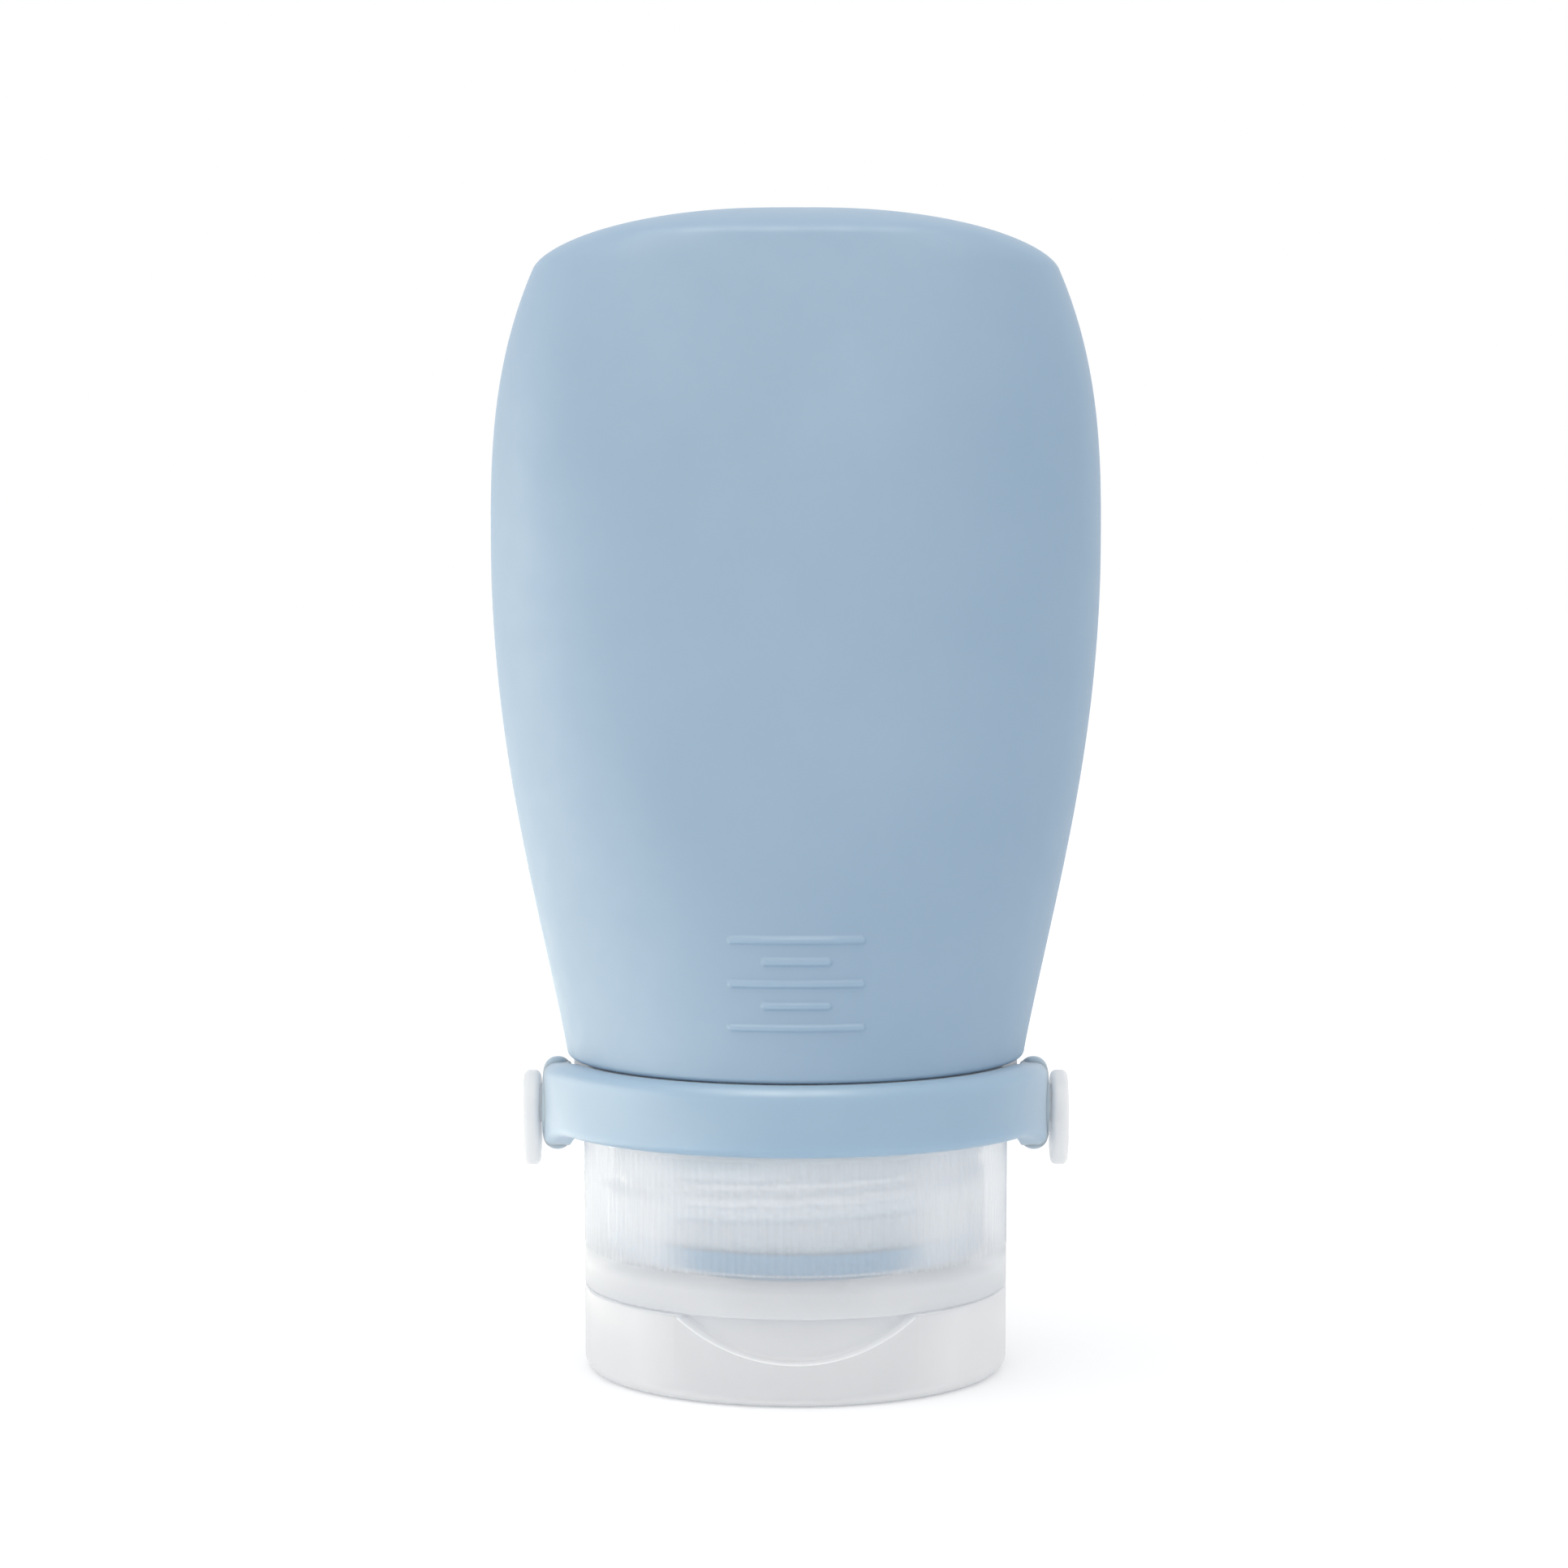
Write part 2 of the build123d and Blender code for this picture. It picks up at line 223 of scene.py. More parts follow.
# Columns round the pieces, rows down them and steps round their corners
body_step_angle = radians(1.6)
crown_rows = 40
upper_side_rows = 46
lower_side_rows = 8
mouth_edge_rows = 7
hollow_side_rows = 16
hollow_crown_rows = 14
lid_front_columns = 241
lid_back_columns = 141
columns_per_rib = 6
cap_corner_steps = 3
hinge_columns = 25
hinge_rows = 41
dome_steps = 18
ring_columns = 160
neck_columns = 288
collar_columns = 200
stud_columns = 48
stud_head_columns = 96
band_columns = 181
band_corner_steps = 6
eyelet_columns = 96
eyelet_corner_steps = 8

# Heights, worked out upwards from the surface the lid stands on
cap_bottom = lid_height + seam_gap
seam_height = lid_height + seam_gap / 2
nozzle_tip = cap_bottom - nozzle_length
deck_top = cap_bottom + deck_thickness
cap_top = cap_bottom + cap_height
ribs_bottom = cap_bottom + smooth_band_height
ribs_top = cap_top - rib_top_margin
valve_top = deck_top + valve_height
gasket_bottom = deck_top + gasket_seat_height
gasket_top = gasket_bottom + gasket_thickness
flange_bottom = cap_top + cap_gap
flange_top = flange_bottom + flange_thickness
collar_top = flange_bottom + collar_height
body_top = collar_top + body_length
widest_height = collar_top + widest_share * body_length
strap_top = collar_top - strap_top_gap
strap_bottom = strap_top - strap_band_height
stud_axis_height = collar_top - eyelet_top_gap - eyelet_radius
neck_thread_start = gasket_top + neck_thread_height
cap_thread_start = neck_thread_start + thread_pitch / 2

# Floor and surround
floor_radius = 3.0
floor_sides = 96
floor_drop = 0.00002
floor_white = (0.93, 0.93, 0.93, 1)
floor_lift = 0.13
surround_left = 1.02
surround_right = 0.92

# Light of the soft boxes, and of the sheets that show in the gloss alone
plain_white = (1, 1, 1)
warm_white = (1.0, 0.94, 0.76)

# Camera, fitted to the photograph's frame, with its sensor in millimetres
frame_pixels = 1932
focal_pixels = 4798
axis_pixel = 980.4
camera_distance = 0.320
camera_pitch = radians(3.7)
camera_aim_height = 0.0481
camera_sensor_width = 36
camera_clip_start = 0.01


def smooth_step(low, high, value):
    """0 below low, 1 above high and a smooth S between."""
    share = min(1, max(0, (value - low) / (high - low)))
    return share * share * (3 - 2 * share)


def evenly(start, end, count):
    """Values from start to end, both included."""
    return [start + (end - start) * index / (count - 1) for index in range(count)]


def rounded(corners, steps=5):
    """Points round an outline whose corners (x, y, radius) are rounded, as many at each corner."""
    points = []
    for index, (x, y, radius) in enumerate(corners):
        corner = Vector((x, y))
        back = Vector(corners[index - 1][:2]) - corner
        ahead = Vector(corners[(index + 1) % len(corners)][:2]) - corner
        if radius < TINY or back.length < TINY or ahead.length < TINY:
            points += [(x, y)] * (steps + 1)
            continue
        half = back.angle(ahead) / 2
        centre = corner + (back.normalized() + ahead.normalized()).normalized() * radius / sin(half)
        first = corner + back.normalized() * radius / tan(half) - centre
        last = corner + ahead.normalized() * radius / tan(half) - centre
        start = atan2(first.y, first.x)
        turn = (atan2(last.y, last.x) - start + pi) % (2 * pi) - pi
        for angle in evenly(start, start + turn, steps + 1):
            points.append((centre.x + radius * cos(angle), centre.y + radius * sin(angle)))
    return points


def split_upright(points, radius, step, low, high):
    """The outline with its upright run at a radius cut into short steps between two heights."""
    result = []
    for index, point in enumerate(points):
        following = points[(index + 1) % len(points)]
        result.append(point)
        if abs(point[0] - radius) < TINY and abs(following[0] - radius) < TINY:
            start = min(high, max(low, point[1]))
            end = min(high, max(low, following[1]))
            pieces = int(abs(end - start) / step)
            result += [(radius, height) for height in evenly(start, end, pieces + 2)[1:-1]]
    return result


def split_thread(points, radius, start, turns):
    """The outline with its upright run at a radius cut finely where a thread lies on it."""
    low = start - thread_base_width / 2
    high = start + turns * thread_pitch + thread_base_width / 2
    return split_upright(points, radius, thread_grid, low, high)


def grid_mesh(columns, wrap_columns=True, wrap_rows=True):
    """Quads through columns of points, which merge where they coincide."""
    mesh = bmesh.new()
    grid = [[mesh.verts.new([MM * value for value in point]) for point in column]
            for column in columns]
    rows = len(grid[0])
    for index in range(len(grid) if wrap_columns else len(grid) - 1):
        here = grid[index]
        there = grid[(index + 1) % len(grid)]
        for row in range(rows if wrap_rows else rows - 1):
            above = (row + 1) % rows
            mesh.faces.new((here[row], there[row], there[above], here[above]))
    bmesh.ops.remove_doubles(mesh, verts=mesh.verts, dist=merge_distance * MM)
    bmesh.ops.recalc_face_normals(mesh, faces=mesh.faces)
    return mesh


def lathe_mesh(outline, count, shaped=None):
    """An outline of (radius, height) turned round the Z axis, with an optional radius by angle."""
    columns = []
    for index in range(count):
        angle = 2 * pi * index / count
        column = []
        for radius, height in outline:
            reach = shaped(radius, height, angle) if shaped else radius
            column.append((reach * cos(angle), reach * sin(angle), height))
        columns.append(column)
    return grid_mesh(columns)


def close_ends(mesh):
    """A mesh whose open ends are filled."""
    bmesh.ops.holes_fill(mesh, edges=[edge for edge in mesh.edges if edge.is_boundary])
    bmesh.ops.recalc_face_normals(mesh, faces=mesh.faces)
    return mesh


def make_piece(name, mesh, materials, body=None, zone=None, sharp=radians(38)):
    """A shown piece from a mesh, smooth apart from its sharp edges, which rides on a body.

    zone gives the number of a face's material from its centre's radius and height in millimetres.
    """
    data = bpy.data.meshes.new(name)
    mesh.to_mesh(data)
    mesh.free()
    data.shade_smooth()
    data.set_sharp_from_angle(angle=sharp)
    for material in materials:
        data.materials.append(material)
    if zone:
        for face in data.polygons:
            face.material_index = zone(face.center.xy.length / MM, face.center.z / MM)
    piece = bpy.data.objects.new(name, data)
    bpy.context.scene.collection.objects.link(piece)
    if body:
        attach(piece, body)
    return piece


def joined(meshes):
    """One mesh that holds several."""
    whole = bmesh.new()
    for mesh in meshes:
        data = bpy.data.meshes.new("part")
        mesh.to_mesh(data)
        mesh.free()
        whole.from_mesh(data)
        bpy.data.meshes.remove(data)
    return whole


# Materials

# The middle range of a noise, which holds nearly all of its values
noise_low = 0.3
noise_high = 0.7

# Marks of the silicone
mottle_size = 0.016
smear_size = 0.0022
swell_size = 0.007
swell_depth = 0.00006
grain_size = 0.00022
grain_depth = 0.00002

# Marks of the plastic
cloud_size = 0.009
polish_size = 0.0016
flow_size = 0.006
flow_depth = 0.00008
flow_stretch = (1, 1, 2.5)
frosting_size = 0.00018
frosting_depth = 0.00001

# Ranges of roughness
polished = (0.25, 0.35)
satin = (0.30, 0.42)
frosted = (0.36, 0.46)
rubbed = (0.41, 0.49)
moulded = (0.45, 0.55)
matt = (0.54, 0.62)

# Where a wall seen aslant starts to look thicker, and where it looks thickest
aslant_low = 0.12
aslant_high = 0.38

# The cap's haze, and the heights between which its wall grows into the solid deck
cap_haze = 0.46
cap_thick_haze = 0.66
thin_wall_height = gasket_bottom + 0.3
thick_wall_height = gasket_bottom - 1.2

# Colours, each with the one that its mottling or clouding goes to
body_blue = (0.268, 0.394, 0.528)
body_mottle = (0.291, 0.417, 0.552)
strap_blue = (0.306, 0.446, 0.580)
strap_mottle = (0.328, 0.470, 0.605)
# Deep blue of the valve's rim and the sealing ring, darker than the body's silicone: partly their own
# deeper blue, partly painted shade for where they sit inside the cap
seal_blue_and_painted_shade = (0.006, 0.330, 0.570)
seal_mottle_and_painted_shade = (0.012, 0.355, 0.600)
skin_blue = (0.550, 0.680, 0.760)
skin_mottle = (0.600, 0.710, 0.790)
cap_white = (0.945, 0.965, 0.995)
cap_cloud = (0.960, 0.975, 1.0)
lid_white = (0.93, 0.94, 0.955)
lid_cloud = (0.955, 0.96, 0.97)
neck_white = (0.89, 0.95, 1.0)
neck_cloud = (0.92, 0.97, 1.0)


def new_material(name):
    """A node material with its shader, and its object coordinates for procedural detail."""
    material = bpy.data.materials.new(name)
    material.use_nodes = True
    tree = material.node_tree
    shader = tree.nodes["Principled BSDF"]
    place = tree.nodes.new("ShaderNodeTexCoord").outputs["Object"]
    return material, tree, shader, place


def noise(tree, place, size, detail=2.0, roughness=0.5, stretch=(1, 1, 1)):
    """A noise whose features are about size metres wide, 0 to 1."""
    mapping = tree.nodes.new("ShaderNodeMapping")
    mapping.inputs["Scale"].default_value = stretch
    texture = tree.nodes.new("ShaderNodeTexNoise")
    texture.inputs["Scale"].default_value = 1 / size
    texture.inputs["Detail"].default_value = detail
    texture.inputs["Roughness"].default_value = roughness
    tree.links.new(place, mapping.inputs["Vector"])
    tree.links.new(mapping.outputs["Vector"], texture.inputs["Vector"])
    return texture.outputs["Fac"]


def map_range(tree, value, start, end, first, last, smooth=False):
    """A value mapped from the range between start and end to the one between first and last."""
    node = tree.nodes.new("ShaderNodeMapRange")
    if smooth:
        node.interpolation_type = "SMOOTHSTEP"
    node.inputs["From Min"].default_value = start
    node.inputs["From Max"].default_value = end
    node.inputs["To Min"].default_value = first
    node.inputs["To Max"].default_value = last
    tree.links.new(value, node.inputs["Value"])
    return node.outputs["Result"]


def spread(tree, value, low, high):
    """A noise mapped from its middle range to low and high."""
    return map_range(tree, value, noise_low, noise_high, low, high)


def blend_colours(tree, value, first, second):
    """A colour that goes from first to second with a value."""
    node = tree.nodes.new("ShaderNodeMix")
    node.data_type = "RGBA"
    node.inputs["A"].default_value = (*first, 1)
    node.inputs["B"].default_value = (*second, 1)
    tree.links.new(value, node.inputs["Factor"])
    return node.outputs["Result"]


def bump(tree, height, strength, distance, under=None):
    """A bump normal from a height, over another one if it is given."""
    node = tree.nodes.new("ShaderNodeBump")
    node.inputs["Strength"].default_value = strength
    node.inputs["Distance"].default_value = distance
    tree.links.new(height, node.inputs["Height"])
    if under:
        tree.links.new(under, node.inputs["Normal"])
    return node.outputs["Normal"]


def silicone(name, first, second, rough, glow=0.25, gloss=1.0, sheen=0.04, haze=1.0):
    """Matt moulded silicone: faint mottling, a fine grain and a soft glow under the surface."""
    material, tree, shader, place = new_material(name)
    mottling = spread(tree, noise(tree, place, mottle_size, detail=3), 0, 1)
    colour = blend_colours(tree, mottling, first, second)
    tree.links.new(colour, shader.inputs["Base Color"])
    smears = spread(tree, noise(tree, place, smear_size, detail=3), *rough)
    tree.links.new(smears, shader.inputs["Roughness"])
    swell = bump(tree, noise(tree, place, swell_size, detail=1), strength=0.25, distance=swell_depth)
    grain_noise = noise(tree, place, grain_size, detail=2)
    grain = bump(tree, grain_noise, strength=0.22, distance=grain_depth, under=swell)
    tree.links.new(grain, shader.inputs["Normal"])
    shader.inputs["IOR"].default_value = 1.41
    shader.inputs["Specular IOR Level"].default_value = gloss
    shader.inputs["Sheen Weight"].default_value = sheen
    shader.inputs["Sheen Roughness"].default_value = 0.45
    shader.inputs["Subsurface Weight"].default_value = glow
    shader.inputs["Subsurface Radius"].default_value = (0.7, 0.85, 1.0)
    shader.inputs["Subsurface Scale"].default_value = 0.0022
    shader.inputs["Alpha"].default_value = haze
    return material


def haze_by_angle(tree, haze, edge_haze):
    """A haze that grows where a wall is seen aslant, as light crosses more of it."""
    aslant = tree.nodes.new("ShaderNodeLayerWeight")
    aslant.inputs["Blend"].default_value = 0.5
    return map_range(tree, aslant.outputs["Facing"], aslant_low, aslant_high, haze, edge_haze,
                     smooth=True)


def haze_by_height(tree, place, haze, thick_haze):
    """A haze that grows downwards where the cap's wall grows into its solid deck."""
    axes = tree.nodes.new("ShaderNodeSeparateXYZ")
    tree.links.new(place, axes.inputs[0])
    return map_range(tree, axes.outputs["Z"], thick_wall_height * MM, thin_wall_height * MM,
                     thick_haze, haze, smooth=True)


def frosted_plastic(name, first, second, rough, haze, edge_haze=None, thick_haze=None):
    """Milky moulded polypropylene: part haze, part see-through, with flow marks and a frosting."""
    material, tree, shader, place = new_material(name)
    cloud = spread(tree, noise(tree, place, cloud_size, detail=3), 0, 1)
    colour = blend_colours(tree, cloud, first, second)
    tree.links.new(colour, shader.inputs["Base Color"])
    polish = spread(tree, noise(tree, place, polish_size, detail=4, roughness=0.6), *rough)
    tree.links.new(polish, shader.inputs["Roughness"])
    flow_noise = noise(tree, place, flow_size, detail=2, stretch=flow_stretch)
    flow = bump(tree, flow_noise, strength=0.3, distance=flow_depth)
    frosting_noise = noise(tree, place, frosting_size, detail=2)
    frosting = bump(tree, frosting_noise, strength=0.18, distance=frosting_depth, under=flow)
    tree.links.new(frosting, shader.inputs["Normal"])
    shader.inputs["IOR"].default_value = 1.49
    shader.inputs["Specular IOR Level"].default_value = 0.3
    shader.inputs["Subsurface Weight"].default_value = 0.8
    shader.inputs["Subsurface Radius"].default_value = (1, 1, 1)
    shader.inputs["Subsurface Scale"].default_value = 0.004
    shader.inputs["Alpha"].default_value = haze
    if edge_haze:
        tree.links.new(haze_by_angle(tree, haze, edge_haze), shader.inputs["Alpha"])
    if thick_haze:
        tree.links.new(haze_by_height(tree, place, haze, thick_haze), shader.inputs["Alpha"])
    return material


blue_silicone = silicone("blue_silicone", body_blue, body_mottle, matt)
strap_silicone = silicone("strap_silicone", strap_blue, strap_mottle, rubbed, glow=0.5, sheen=0.25)
# The valve's rim and the sealing ring, whose darker blue holds painted shade for the inside of the cap
valve_rim = silicone("valve_rim", seal_blue_and_painted_shade, seal_mottle_and_painted_shade, moulded, glow=0.1, gloss=0.3)
valve_skin = silicone("valve_skin", skin_blue, skin_mottle, moulded, haze=0.12)
cap_outside = frosted_plastic("cap_outside", cap_white, cap_cloud, frosted, haze=cap_haze,
                              thick_haze=cap_thick_haze)
cap_inside = frosted_plastic("cap_inside", cap_white, cap_cloud, polished, haze=0.06, edge_haze=0.80)
cap_deck = frosted_plastic("cap_deck", cap_white, cap_cloud, satin, haze=0.70)
lid_outside = frosted_plastic("lid_outside", lid_white, lid_cloud, satin, haze=0.58, edge_haze=0.80)
lid_inside = frosted_plastic("lid_inside", lid_white, lid_cloud, polished, haze=0.30)
# Whiter, denser plastic on the thumb recess's rounded edge: a painted highlight along its arc
lid_edge_painted_highlight = frosted_plastic("lid_edge_painted_highlight", cap_cloud, cap_cloud, polished, haze=0.80)
# Whiter, denser plastic in the thumb recess: painted light that lifts the recess's shade
lid_recess_painted_light = frosted_plastic("lid_recess_painted_light", lid_cloud, cap_cloud, satin, haze=0.74)
collar_plastic = frosted_plastic("collar_plastic", lid_white, lid_cloud, satin, haze=0.70)
neck_plastic = frosted_plastic("neck_plastic", neck_white, neck_cloud, polished, haze=0.94)
ring_plastic = frosted_plastic("ring_plastic", cap_white, cap_cloud, polished, haze=0.10)


# Silicone body

def crown(height, top, length):
    """How much of its plain size a section keeps where the body rounds over to its end."""
    share = min(1, max(0, (height - (top - length)) / length))
    return sqrt(1 - share**2)


def half_width(height, inset=0):
    """Half the body's width at a height, less an inset from its outer surface."""
    widest = body_width / 2
    if height <= widest_height:
        share = (height - collar_top) / (widest_height - collar_top)
        plain = neck_end_radius + (widest - neck_end_radius) * sin(pi / 2 * share) ** width_power_share
    else:
        share = (height - widest_height) / (body_top - widest_height)
        plain = widest * (1 - end_narrowing_share * share**end_power_share)
    return (plain - inset) * crown(height, body_top - inset, crown_side_length)


def half_depth(height, inset=0):
    """Half the body's depth at a height, less an inset from its outer surface."""
    share = (height - collar_top) / body_length
    plain = neck_end_radius * (1 - depth_loss_share * share**depth_power_share)
    return (plain - inset) * crown(height, body_top - inset, crown_face_length)


def squareness(height):
    """Exponent of the section: 2 is an ellipse, more is squarer."""
    share = (height - collar_top) / body_length
    to_middle = (middle_exponent - neck_exponent) * smooth_step(0, middle_share, share)
    to_end = (end_exponent - middle_exponent) * smooth_step(middle_share, 1, share)
    return neck_exponent + to_middle + to_end


def on_section(angle, half_x, half_y, exponent):
    """A point of a section, an ellipse with squared-off corners."""
    across = abs(cos(angle)) ** (2 / exponent)
    along = abs(sin(angle)) ** (2 / exponent)
    return (half_x * across * (1 if cos(angle) >= 0 else -1),
            half_y * along * (1 if sin(angle) >= 0 else -1))


def mark_height(x, height):
    """How far the fill scale stands out of the body's front at a point."""
    raised = 0
    for bar in range(mark_bar_count):
        centre = mark_centre_height + (bar - (mark_bar_count - 1) / 2) * mark_bar_pitch
        half_length = (mark_long_bar if bar % 2 == 0 else mark_short_bar) / 2
        beside = max(0, abs(x) - half_length + mark_bar_width / 2)
        away = sqrt(beside**2 + (height - centre) ** 2) - mark_bar_width / 2
        raised = max(raised, 1 - smooth_step(-mark_slope / 2, mark_slope / 2, away))
    return mark_relief * raised


def body_angles():
    """Angles of the body's columns, close together where the fill scale is."""
    reach = mark_long_bar / 2 + mark_margin
    across = half_width(mark_centre_height)
    exponent = squareness(mark_centre_height)
    close = []
    for x in evenly(-reach, reach, int(2 * reach / mark_grid) + 1):
        close.append(acos((abs(x) / across) ** (exponent / 2)) if x < 0 else
                     pi - acos((x / across) ** (exponent / 2)))
    close = [pi + angle for angle in close]
    count = int((close[0] + 2 * pi - close[-1]) / body_step_angle)
    return close + evenly(close[-1], close[0] + 2 * pi, count)[1:-1]


def outer_heights():
    """Heights of the body's rows from its end down to its mouth, closest at the end and the scale."""
    heights = []
    for turn in evenly(pi / 2, 0, crown_rows):
        heights.append(body_top - crown_side_length * (1 - sin(turn)))
    mark_reach = (mark_bar_count - 1) / 2 * mark_bar_pitch + mark_bar_width + mark_margin
    mark_top = mark_centre_height + mark_reach
    mark_bottom = mark_centre_height - mark_reach
    heights += evenly(heights[-1], mark_top, upper_side_rows)[1:]
    heights += evenly(mark_top, mark_bottom, int(2 * mark_reach / mark_grid))[1:]
    heights += evenly(mark_bottom, collar_top + mouth_edge_round, lower_side_rows)[1:]
    for turn in evenly(0, pi / 2, mouth_edge_rows)[1:]:
        heights.append(collar_top + mouth_edge_round * (1 - sin(turn)))
    return heights


def body_column(angle, heights, inner_heights):
    """One closed column of the body: outside, lip, and the hollow back up to the far end."""
    column = []
    for height in heights:
        below = max(0, collar_top + mouth_edge_round - height)
        drawn_in = mouth_edge_round - sqrt(max(0, mouth_edge_round**2 - below**2))
        x, y = on_section(angle, half_width(height), half_depth(height), squareness(height))
        length = sqrt(x * x + y * y)
        raised = mark_height(x, height) if y < 0 else 0
        grow = 1 + (raised - drawn_in) / length if length > TINY else 1
        column.append((x * grow, y * grow, height))
    throat_bottom = collar_top + throat_height
    throat_top = throat_bottom + throat_length
    throat_reach = min(half_width(throat_top, body_wall), half_depth(throat_top, body_wall))
    throat_radius = throat_reach - throat_step
    lip = [(lip_radius, collar_top), (lip_radius, flange_top), (lip_bore_radius, flange_top),
           (lip_bore_radius, throat_bottom), (throat_radius, throat_top)]
    column += [(radius * cos(angle), radius * sin(angle), height) for radius, height in lip]
    for height in inner_heights:
        x, y = on_section(angle, half_width(height, body_wall), half_depth(height, body_wall),
                          squareness(height))
        column.append((x, y, height))
    return column


def make_body():
    """The hollow silicone body with its raised fill scale."""
    heights = outer_heights()
    throat_top = collar_top + throat_height + throat_length
    inner_end = body_top - body_wall
    inner_heights = evenly(throat_top, inner_end - crown_side_length, hollow_side_rows)
    for turn in evenly(0, pi / 2, hollow_crown_rows)[1:]:
        inner_heights.append(inner_end - crown_side_length * (1 - sin(turn)))
    mesh = grid_mesh([body_column(angle, heights, inner_heights) for angle in body_angles()],
                     wrap_rows=False)
    body = make_piece("silicone_body", mesh, [blue_silicone], "bottle")
    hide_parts("bottle_body")


# Lid

def lid_outline(angle):
    """The lid's section at an angle from its front, where the thumb recess cuts the wall back."""
    recess_radius = (recess_width**2 / 4 + recess_height**2) / (2 * recess_height)
    recess_centre = lid_height - recess_height + recess_radius
    x = lid_radius * sin(angle)
    in_recess = abs(x) < recess_width / 2 and cos(angle) > 0
    edge = recess_centre - sqrt(recess_radius**2 - x * x) if in_recess else lid_height
    depth = lid_height - edge
    hollow_round = min(recess_hollow_round, recess_hollow_share * depth)
    rim_round = min(lid_rim_round, recess_rim_share * depth)
    recess_floor = lid_radius - recess_depth
    turn = abs((angle + pi) % (2 * pi) - pi)
    thicker = 1 - smooth_step(pad_half_angle, pad_half_angle + pad_step_angle, turn)
    inner = lid_radius - lid_wall - thicker * (pad_wall + recess_depth - lid_wall)
    return rounded([
        (0, 0, 0),
        (lid_radius, 0, lid_edge_round),
        (lid_radius, edge, recess_edge_round),
        (recess_floor, edge, hollow_round),
        (recess_floor, lid_height, rim_round),
        (inner, lid_height, lid_rim_round),
        (inner, lid_floor, root_round),
        (spigot_radius, lid_floor, soft_round),
        (spigot_radius, spigot_height, small_round),
        (spigot_radius - spigot_wall, spigot_height, small_round),
        (spigot_radius - spigot_wall, lid_floor, soft_round),
        (0, lid_floor, 0),
    ])


def lid_zone(radius, height):
    """Which material a face of the lid has: 0 outside, 1 inside, 2 on the recess's edge with a painted
    highlight, 3 in the recess with painted light over its shade.
    """
    if radius < lid_radius - recess_depth - seam_gap:
        return 1
    beside_arc = lid_radius - recess_edge_round - edge_slack < radius < lid_radius - edge_slack
    if beside_arc and lid_edge_round < height < lid_height - recess_edge_round:
        return 2
    return 3 if radius < lid_radius - recess_depth / 2 and height > lid_height - recess_height else 0


def make_lid():
    """The flip lid, a shallow cup with a thumb recess in its front."""
    front = pad_half_angle + 2 * pad_step_angle
    angles = evenly(-front, front, lid_front_columns)
    angles += evenly(front, 2 * pi - front, lid_back_columns)[1:-1]
    columns = []
    for angle in angles:
        columns.append([(radius * sin(angle), -radius * cos(angle), height)
                        for radius, height in lid_outline(angle)])
    lid = make_piece("lid_shell", grid_mesh(columns), [lid_outside, lid_inside, lid_edge_painted_highlight, lid_recess_painted_light],
                     "lid", lid_zone)
    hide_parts("flip_lid")


# Screw cap

def thread_ridge(start, turns, angle, height):
    """How much of its full depth a helical ridge has at an angle and a height, 0 to 1."""
    ridge = 0
    lap = 0
    while lap * 2 * pi + angle <= turns * 2 * pi:
        along = lap * 2 * pi + angle
        away = abs(height - start - thread_pitch * along / (2 * pi))
        flank = (thread_base_width / 2 - away) / ((thread_base_width - thread_crest_width) / 2)
        ends = min(along, turns * 2 * pi - along) / thread_end_angle
        ridge = max(ridge, min(1, max(0, flank)) * min(1, max(0, ends)))
        lap += 1
    return ridge


def cap_shape(radius, height, angle):
    """The cap's radius with its grip ribs outside and its thread inside."""
    if abs(radius - lid_radius) < TINY:
        inside = min(height - ribs_bottom, ribs_top - height)
        wave = sin(rib_count * angle) * (1 - rib_softening * abs(sin(rib_count * angle)))
        return radius + rib_depth / 2 * wave * smooth_step(0, rib_fade, inside)
    if abs(radius - cap_inner_radius) < TINY:
        return radius - thread_depth * thread_ridge(cap_thread_start, cap_thread_turns, angle, height)
    return radius


def cap_zone(radius, height):
    """Which of the cap's materials a face has: 0 outside, 1 in its thin inner walls, 2 on the deck."""
    if radius > cap_inner_radius + rib_depth:
        return 0
    return 1 if height > gasket_bottom + seam_gap else 2


def make_cap():
    """The screw cap with its deck, nozzle, valve socket, thread and grip ribs."""
    socket_outer = socket_radius + socket_wall
    outline = rounded([
        (orifice_radius, nozzle_tip, small_round),
        (nozzle_radius, nozzle_tip, soft_round),
        (nozzle_radius, cap_bottom, root_round),
        (lid_radius, cap_bottom, cap_seam_round),
        (lid_radius, cap_top, soft_round),
        (cap_inner_radius, cap_top, small_round),
        (cap_inner_radius, gasket_bottom, soft_round),
        (socket_outer, gasket_bottom, soft_round),
        (socket_outer, deck_top + socket_height, fine_round),
        (socket_radius, deck_top + socket_height, fine_round),
        (socket_radius, deck_top, 0),
        (orifice_radius, deck_top, small_round),
    ], cap_corner_steps)
    for end in (ribs_bottom, ribs_top):
        outline = split_upright(outline, lid_radius, rib_fade_grid, end - rib_fade, end + rib_fade)
    outline = split_thread(outline, cap_inner_radius, cap_thread_start, cap_thread_turns)
    mesh = lathe_mesh(outline, columns_per_rib * rib_count, cap_shape)
    cap = make_piece("cap_shell", mesh, [cap_outside, cap_inside, cap_deck], "cap",
                     cap_zone)
    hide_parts("cap_base")


